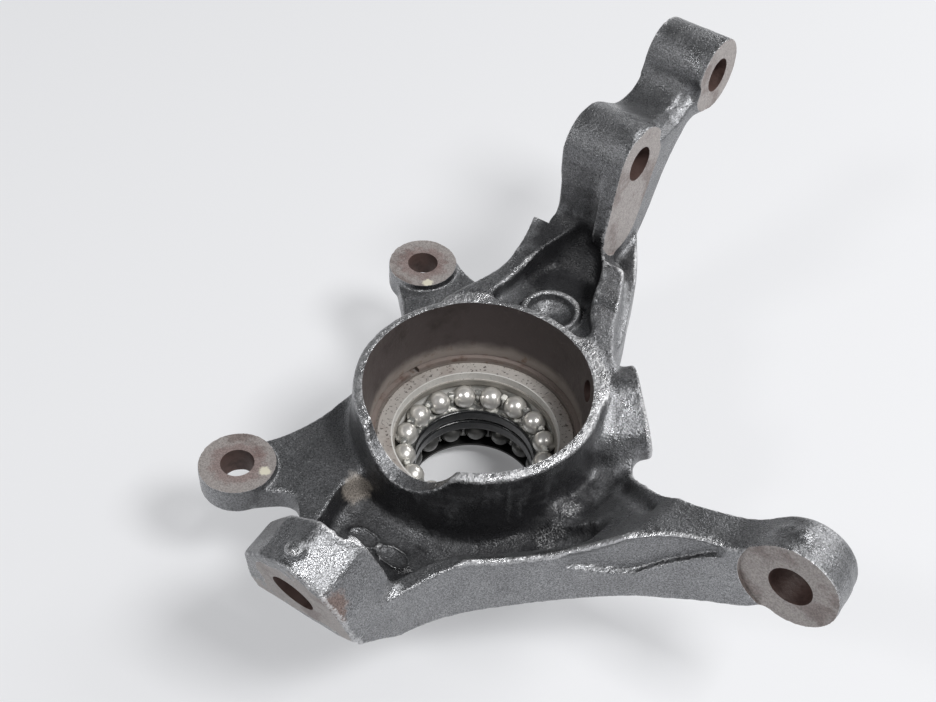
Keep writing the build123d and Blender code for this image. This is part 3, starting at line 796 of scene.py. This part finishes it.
def padCutter(name, faceX, away):
    # round-ended outline of the strut pad, swept along X
    (y0, z0), (y1, z1, r1) = casting["strutBolts"][0], casting["padTail"]
    spare = casting["padSpare"]
    base = math.atan2(z1 - z0, y1 - y0)
    rim = []
    for y, z, radius, start in ((y0, z0, casting["strutBoss"] + spare, 0.5), (y1, z1, r1 + spare, -0.5)):
        for i in range(49):
            turn = base + math.pi * (start + i / 48)
            rim.append((y + radius * math.cos(turn), z + radius * math.sin(turn)))
    n = len(rim)
    points = [(faceX * mm, y * mm, z * mm) for y, z in rim] + [(away * mm, y * mm, z * mm) for y, z in rim]
    faces = [tuple(range(n)), tuple(range(2 * n - 1, n - 1, -1))]
    faces += [(i, i + n, (i + 1) % n + n, (i + 1) % n) for i in range(n)]
    return objectFrom(name, outward(meshFrom(name, points, faces, machinedMat)))


def cutters():
    c = casting
    yield turnedCutter("hubCut", hubBore["outline"], hubBore["steps"], boreMat)
    yield barCutter("footCut", (0, 0, -8), (0, 0, 0), 50)
    for i, (x, y) in enumerate(c["ears"]):
        yield barCutter(f"earFaceCut{i}", (x, y, c["earFace"]), (x, y, 60), c["earRadius"] + 1.2)
        yield barCutter(f"earHoleCut{i}", (x, y, 30), (x, y, 55), c["earHole"], material=holeMat)
    yield padCutter("padCutFront", c["strutFace"], 12)
    yield padCutter("padCutBack", c["strutBack"], -40)
    y, z = c["strutBolts"][1]
    padRadius = c["strutBoss"] + c["padSpare"]
    yield barCutter("upperPadFront", (c["strutFace"], y, z), (12, y, z), padRadius)
    yield barCutter("upperPadBack", (c["strutBack"], y, z), (-40, y, z), padRadius)
    for i, (y, z) in enumerate(c["strutBolts"]):
        yield barCutter(f"boltCut{i}", (-39, y, z), (11, y, z), c["strutHole"], material=holeMat)
    center, axis = blockFrame()
    yield barCutter("blockFaceCut", center - axis * 14, center, 40)
    end = center + axis * (c["blockDepth"] + 2)
    yield barCutter("blockBoreCut", center - axis * 2, end, *c["blockBore"], holeMat)
    tie, back = Vector(c["tieRod"]), Vector((0, 1, 0))
    yield barCutter("tieFaceCut", tie - back * 12, tie, c["tieRodBoss"] + 1.0)
    end = tie + back * (c["tieRodDepth"] + 2)
    yield barCutter("tieBoreCut", tie - back * 2, end, *c["tieBore"], holeMat)
    start, out = sensorFrame()
    yield barCutter("sensorFaceCut", start, start + out * 14, 30, material=castMat)
    yield barCutter("sensorBoreCut", start + out * 3, start - out * 36, c["sensorBore"], material=holeMat)


def boreAndFace(body):
    for tool in list(cutters()):
        before = len(body.data.polygons)
        cut = body.modifiers.new(tool.name, "BOOLEAN")
        cut.operation = "DIFFERENCE"
        cut.solver = "MANIFOLD"
        cut.material_mode = "TRANSFER"
        cut.object = tool
        applyModifiers(body)
        print(tool.name, before, "to", len(body.data.polygons), "faces")
        bpy.data.objects.remove(tool)


def sharpenSeams(mesh):
    # an edge between a cast and a machined surface is always sharp
    edges = np.zeros(len(mesh.loops), np.int32)
    mesh.loops.foreach_get("edge_index", edges)
    kinds, sides = np.zeros(len(mesh.polygons), np.int32), np.zeros(len(mesh.polygons), np.int32)
    mesh.polygons.foreach_get("material_index", kinds)
    mesh.polygons.foreach_get("loop_total", sides)
    kinds = np.repeat(kinds, sides)
    low, high = np.full(len(mesh.edges), 99), np.full(len(mesh.edges), -1)
    np.minimum.at(low, edges, kinds)
    np.maximum.at(high, edges, kinds)
    marked = mesh.attributes["sharp_edge"].data
    sharp = np.zeros(len(mesh.edges), bool)
    marked.foreach_get("value", sharp)
    marked.foreach_set("value", sharp | (low < high))


masks = {
    "every": 4,  # cells between two looks at the clay
    "rays": 32,
    "start": 2.5,
    "looks": (2, 5, 9, 14, 20, 27, 35, 44, 54),  # distances along a ray, in mm
    "smoothing": 9,
    "crown": (0.47, 0.17),  # share filled under a crown, and its fade
    "rim": (43, 5.0, 0.9),  # of the hub's mouth: radius, reach and crown
    "rimHeight": (65.5, 68.5),
}


def skyShare(points, normals):
    # how open a point is: 0 in a deep recess, 1 on open ground
    every, rays = masks["every"], masks["rays"]
    solid = clay.field[::every, ::every, ::every] < 0
    size = clay.step * every
    top = np.array(solid.shape) - 1
    total, seen = np.zeros(len(points)), np.zeros(len(points))
    start = points + normals * masks["start"]
    for i in range(rays):
        z = 1 - (2 * i + 1) / rays
        turn = i * math.pi * (3 - math.sqrt(5))
        ray = np.array((math.sqrt(1 - z * z) * math.cos(turn), math.sqrt(1 - z * z) * math.sin(turn), z))
        weight = np.clip(normals @ ray, 0, 1)
        free = np.ones(len(points))
        for away in masks["looks"]:
            cell = np.rint((start + ray * away) / size - clay.low / every).astype(int)
            inside = ((cell >= 0) & (cell <= top)).all(1)
            cell = np.clip(cell, 0, top)
            free[inside & solid[tuple(cell.T)]] = 0
        total += weight
        seen += weight * free
    return seen / np.maximum(total, 1e-6)


def layer(mesh, name, values):
    made = mesh.attributes.new(name, "FLOAT", "POINT")
    made.data.foreach_set("value", values.astype(np.float32))


def addMasks(body):
    mesh = body.data
    points, _ = meshArrays(mesh)
    points = points / mm
    inside = np.clip(0.5 - clay.field / (2 * clay.step), 0, 1).astype(np.float32)
    for _ in range(masks["smoothing"]):
        for axis in range(3):
            inside = (np.roll(inside, 1, axis) + 2 * inside + np.roll(inside, -1, axis)) * 0.25
    fill = sampled(inside, clay.low, clay.step, points)
    radius, reach, share = masks["rim"]
    away = np.abs(np.hypot(points[:, 0], points[:, 1]) - radius)
    rim = smoothStep(points[:, 2], *masks["rimHeight"]) * smoothStep(reach - away, 0, 2)
    level, fade = masks["crown"]
    layer(mesh, "crown", np.maximum(smoothStep(level - fill, 0, fade), share * rim))
    # the open share is what castPaint turns into painted shade
    layer(mesh, "open", skyShare(points, vertexNormals(mesh)))
    sharp = np.zeros(len(mesh.edges), bool)
    mesh.attributes["sharp_edge"].data.foreach_get("value", sharp)
    ends = np.zeros(len(mesh.edges) * 2, np.int32)
    mesh.edges.foreach_get("vertices", ends)
    edge = np.zeros(len(mesh.vertices), np.float32)
    edge[ends.reshape(-1, 2)[sharp].ravel()] = 1
    layer(mesh, "edge", edge)


body = castBlank()
boreAndFace(body)
body.data.shade_smooth()
body.data.set_sharp_from_angle(angle=math.radians(38))
sharpenSeams(body.data)
addMasks(body)
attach(body, "knuckle")
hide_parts("knuckle_casting")
print("casting done", len(body.data.polygons), "faces")


# looks of the bearing: they follow the radius and height in the bearing
def radiusOf(tree, at):
    parts = put(tree, "ShaderNodeSeparateXYZ", {0: at}).outputs
    square = sums(tree, "ADD", times(tree, parts["X"], parts["X"]),
                  times(tree, parts["Y"], parts["Y"]))
    return sums(tree, "SQRT", square), parts["Z"]


steel = {
    "face": (0.50, 0.47, 0.44, 1),
    "rust": {"patch": (0.33, 0.28, 0.25, 1), "scale": 85.0, "cover": 0.50, "soft": 0.14, "amount": 0.6},
    "pits": {"patch": (0.05, 0.04, 0.035, 1), "scale": 900.0, "cover": 0.43, "soft": 0.05, "amount": 0.85},
    "inside": (0.27, 0.255, 0.23, 1),
    "insideFade": (0.0300, 0.0306),
    "lip": (0.78, 0.77, 0.74, 1),
    "lipFade": ((0.0304, 0.0307), (0.0309, 0.0313)),
    "gloss": (0.48, 0.65),
    "fine": (1400.0, 0.00006),
    "coarse": (300.0, 0.00008),
}


def ringSteel():
    # ground face, rusty and pitted, with a bright lip round its inside
    material, tree, shader, at = newLook("ringSteel", metallic=0.15)
    radius, _ = radiusOf(tree, at)
    rust = patchy(tree, at, steel["face"], steel["rust"])
    pitted = patchy(tree, at, rust["Color"], steel["pits"])
    inner = step(tree, radius, *steel["insideFade"], 1.0, 0.0)
    base = blendColor(tree, inner, pitted["Color"], steel["inside"])
    rise, fall = steel["lipFade"]
    lip = times(tree, step(tree, radius, *rise), step(tree, radius, *fall, 1.0, 0.0))
    color = blendColor(tree, lip, base, steel["lip"])
    tree.links.new(blendValue(tree, rust["Mask"], *steel["gloss"]), shader["Roughness"])
    skin(tree, shader, at, color, steel)
    return material


clip = {
    "rough": 0.5,
    "metallic": 0.3,
    "brown": (0.27, 0.225, 0.205, 1),
    "rust": {"patch": (0.13, 0.072, 0.052, 1), "scale": 140.0, "cover": 0.5, "soft": 0.25, "amount": 0.9},
    "fine": (1400.0, 0.00008),
    "coarse": (400.0, 0.0001),
}


pearl = {
    "light": (0.90, 0.88, 0.84, 1),
    "film": {"patch": (0.66, 0.64, 0.60, 1), "scale": 330.0, "cover": 0.5, "soft": 0.3, "amount": 0.6},
    "lowRowShade": (0.16, 0.16, 0.155, 1),
    "lowRowShadeFade": (0.019, 0.029),  # heights: the lower row is painted darker, a painted shade
    "gloss": (0.30, 0.40),
    "fine": (1500.0, 0.00002),
    "coarse": (400.0, 0.00008),
}


def ballSteel():
    # satin steel under a film of grease, the lower row darkened as painted shade
    material, tree, shader, at = newLook("ballSteel", metallic=0.7)
    film = patchy(tree, at, pearl["light"], pearl["film"])
    _, height = radiusOf(tree, at)
    lowRowShade = step(tree, height, *pearl["lowRowShadeFade"], 1.0, 0.0)
    color = blendColor(tree, lowRowShade, film["Color"], pearl["lowRowShade"])
    tree.links.new(blendValue(tree, film["Mask"], *pearl["gloss"]), shader["Roughness"])
    skin(tree, shader, at, color, pearl)
    return material


grease = {
    "nylon": (0.012, 0.013, 0.014, 1),
    "coat": {"Coat Weight": 0.35, "Coat Roughness": 0.1},
    "cream": (0.80, 0.79, 0.74, 1),
    "thin": {"patch": (0.16, 0.162, 0.155, 1), "scale": 340.0, "cover": 0.56, "soft": 0.07, "amount": 0.95},
    "lip": (0.0236, 0.0248),  # black and wiped clean inside this radius
    "lipRagged": (420.0, 0.0016),  # scale and width
    "lowCageShadeFade": (0.018, 0.030),  # heights: less pale grease on the lower cage, darkening it as painted shade
    "lowCageShadeShare": 0.35,
    "fine": (1500.0, 0.00003),
    "coarse": (500.0, 0.0001),
}


def cageNylon():
    # black cage, smeared with pale grease between the balls, less of it low down as painted shade
    material, tree, shader, at = newLook("cageNylon", rough=0.24, **grease["coat"])
    radius, height = radiusOf(tree, at)
    scale, share = grease["lipRagged"]
    radius = sums(tree, "ADD", radius, times(tree, noise(tree, at, scale), share))
    smear = step(tree, radius, *grease["lip"])
    smear = times(tree, smear, step(tree, height, *grease["lowCageShadeFade"], grease["lowCageShadeShare"], 1.0))
    thin = patchy(tree, at, grease["cream"], grease["thin"])
    color = blendColor(tree, smear, grease["nylon"], thin["Color"])
    skin(tree, shader, at, color, grease)
    return material


rubber = {
    "black": (0.01, 0.01, 0.01, 1),
    "film": {"patch": (0.06, 0.06, 0.058, 1), "scale": 180.0, "cover": 0.4, "soft": 0.2, "amount": 0.8},
}


def sealRubber():
    material, tree, shader, at = newLook("sealRubber", rough=0.3)
    film = patchy(tree, at, rubber["black"], rubber["film"])
    tree.links.new(film["Color"], shader["Base Color"])
    return material


def dress(node, material):
    mesh = nodes[node].data
    mesh.materials.clear()
    mesh.materials.append(material)


dress("bearing_outer_ring", ringSteel())
dress("snap_ring", rustySteel("clipSteel", clip))
dress("outboard_seal", sealRubber())
ballMat, cageMat = ballSteel(), cageNylon()

balls = {
    "Count": 16,
    "Pitch Radius": 0.0264,
    "Ball Radius": 0.00435,
    "segments": 40,
    "rings": 24,
    "rows": {"inboard": (0.0334, 0.0), "outboard": (0.0146, 11.25)},  # height, turn in degrees
}


def ballTree():
    # a ring of balls: circle, one sphere on each point, made real
    tree = bpy.data.node_groups.new("ballRow", "GeometryNodeTree")
    tree.interface.new_socket(name="Geometry", in_out="OUTPUT", socket_type="NodeSocketGeometry")
    for name in ("Count", "Pitch Radius", "Ball Radius", "Height", "Turn"):
        kind = "NodeSocketInt" if name == "Count" else "NodeSocketFloat"
        tree.interface.new_socket(name=name, in_out="INPUT", socket_type=kind)
    given = tree.nodes.new("NodeGroupInput").outputs
    ring = put(tree, "GeometryNodeMeshCircle", {"Vertices": given["Count"], "Radius": given["Pitch Radius"]})
    place = put(tree, "ShaderNodeCombineXYZ", {"Z": given["Height"]})
    turn = put(tree, "ShaderNodeCombineXYZ", {"Z": given["Turn"]})
    moved = put(tree, "GeometryNodeTransform", {
        "Geometry": ring.outputs["Mesh"], "Translation": place.outputs[0], "Rotation": turn.outputs[0]})
    sphere = put(tree, "GeometryNodeMeshUVSphere", {
        "Segments": balls["segments"], "Rings": balls["rings"], "Radius": given["Ball Radius"]})
    smooth = put(tree, "GeometryNodeSetShadeSmooth", {"Geometry": sphere.outputs["Mesh"]})
    spread = put(tree, "GeometryNodeInstanceOnPoints", {
        "Points": moved.outputs[0], "Instance": smooth.outputs[0]})
    real = put(tree, "GeometryNodeRealizeInstances", {"Geometry": spread.outputs[0]})
    finish = put(tree, "GeometryNodeSetMaterial", {"Geometry": real.outputs[0], "Material": ballMat})
    tree.links.new(finish.outputs[0], tree.nodes.new("NodeGroupOutput").inputs["Geometry"])
    return tree


def ballRow(tree, name, height, turn):
    piece = objectFrom(name + "Balls", bpy.data.meshes.new(name + "Balls"))
    made = piece.modifiers.new("balls", "NODES")
    made.node_group = tree
    sizes = {**balls, "Height": height, "Turn": math.radians(turn)}
    for item in tree.interface.items_tree:
        if item.in_out == "INPUT":
            made[item.identifier] = sizes[item.name]
    applyModifiers(piece)
    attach(piece, name + "_row")
    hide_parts(*[f"{name}_ball_{i + 1:02d}" for i in range(balls["Count"])])


cage = {
    "step": 0.32,
    "reach": 2.5,
    "corners": (0.5, -0.3),  # inside, then outside
    "wiped": (24.0, 25.6),  # the lip inside these radii stays smooth
    "lumps": ((0.22, 2.4), (0.12, 1.1)),
    "triangles": 70000,
}


def greasyCage(name, seed):
    # the solid cage, softened and lumpy with grease
    points, triangles = meshArrays(nodes[name + "_ball_cage"].data)
    blob = Clay(points * 1000, triangles, cage["step"], cage["reach"])
    for radius in cage["corners"]:
        blob.field = blob.rounded(radius)
    points, quads = blob.surface()
    mesh = outward(quadMesh(name + "Cage", points, quads))
    radius = np.hypot(points[:, 0], points[:, 1])
    wiped = 0.25 + 0.75 * smoothStep(radius, *cage["wiped"])
    lift = sum(height * lumps(points, size, seed + i) for i, (height, size) in enumerate(cage["lumps"]))
    pushOut(mesh, lift * wiped)
    mesh.materials.append(cageMat)
    piece = objectFrom(name + "Cage", mesh)
    thinTo(piece, cage["triangles"])
    piece.data.shade_smooth()
    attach(piece, name + "_row")
    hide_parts(name + "_ball_cage")


ballNodes = ballTree()
for seed, (name, (height, turn)) in enumerate(balls["rows"].items()):
    ballRow(ballNodes, name, height, turn)
    greasyCage(name, 20 + 10 * seed)
print("bearing done")


view = {
    "lens": 36.0 * 1400 / 936,
    "place": (0.189345, -0.280657, 0.431130),
    "right": (0.802789, 0.595411, 0.031862),
    "down": (0.443910, -0.561137, -0.698620),
    "ahead": (-0.398087, 0.574988, -0.714783),
}


def addCamera():
    data = bpy.data.cameras.new("camera")
    data.sensor_width = 36.0
    data.sensor_fit = "HORIZONTAL"
    data.lens = view["lens"]
    data.clip_start, data.clip_end = 0.01, 20
    camera = objectFrom("camera", data)
    right, down, ahead = (Vector(view[k]) for k in ("right", "down", "ahead"))
    turn = Matrix((right, -down, -ahead)).transposed()
    camera.matrix_world = Matrix.Translation(view["place"]) @ turn.to_4x4()
    bpy.context.scene.camera = camera


table = {
    "color": (0.84, 0.845, 0.86, 1),
    "seen": (0.42, 0.422, 0.43, 1),  # as the camera and reflections see it, beside its glow
    "glow": (0.955, 0.962, 0.985, 1),
    "plain": {"Emission Strength": 0.44, "Specular IOR Level": 0.2},
    "underHub": (0.026, 0.040),  # less glow inside this radius, to keep the bore dark
    "underGlow": 0.35,
}


def addFloor():
    material, tree, shader, at = newLook("table", rough=0.7, **table["plain"])
    path = put(tree, "ShaderNodeLightPath").outputs
    seen = sums(tree, "MAXIMUM", path["Is Camera Ray"],
                sums(tree, "MAXIMUM", path["Is Glossy Ray"], path["Is Transmission Ray"]))
    away = put(tree, "ShaderNodeVectorMath", {0: at}, operation="LENGTH").outputs["Value"]
    seen = times(tree, seen, step(tree, away, *table["underHub"], table["underGlow"], 1.0))
    tree.links.new(blendColor(tree, seen, table["color"], table["seen"]), shader["Base Color"])
    tree.links.new(blendColor(tree, seen, (0, 0, 0, 1), table["glow"]), shader["Emission Color"])
    corners = [(-20, -20, 0), (20, -20, 0), (20, 20, 0), (-20, 20, 0)]
    objectFrom("floor", meshFrom("floor", corners, [(0, 1, 2, 3)], material))


lamps = {
    # place, target, width, height, power
    "rightTop": ((0.92, 0.05, 1.40), (0.0, 0.0, 0.03), 0.45, 0.45, 20),
    "leftFront": ((-0.53, -1.09, 1.19), (0.0, 0.0, 0.03), 0.30, 0.30, 4.5),
    "window": ((0.25, 1.75, 0.95), (0.02, 0.0, 0.05), 1.1, 0.9, 17),
}
room = {"color": (0.95, 0.97, 1.0, 1), "strength": 0.12}


def addLights():
    world = bpy.data.worlds.new("room")
    bpy.context.scene.world = world
    world.use_nodes = True
    background = world.node_tree.nodes["Background"].inputs
    background["Color"].default_value = room["color"]
    background["Strength"].default_value = room["strength"]
    for name, (place, target, width, height, power) in lamps.items():
        data = bpy.data.lights.new(name, "AREA")
        data.shape = "RECTANGLE"
        data.size, data.size_y = width, height
        data.energy = power
        aim = Vector(target) - Vector(place)
        turn = aim.to_track_quat("-Z", "Y").to_matrix().to_4x4()
        objectFrom(name, data).matrix_world = Matrix.Translation(place) @ turn


addCamera()
addFloor()
addLights()
bpy.context.scene.view_settings.view_transform = "Standard"
print("scene ready")
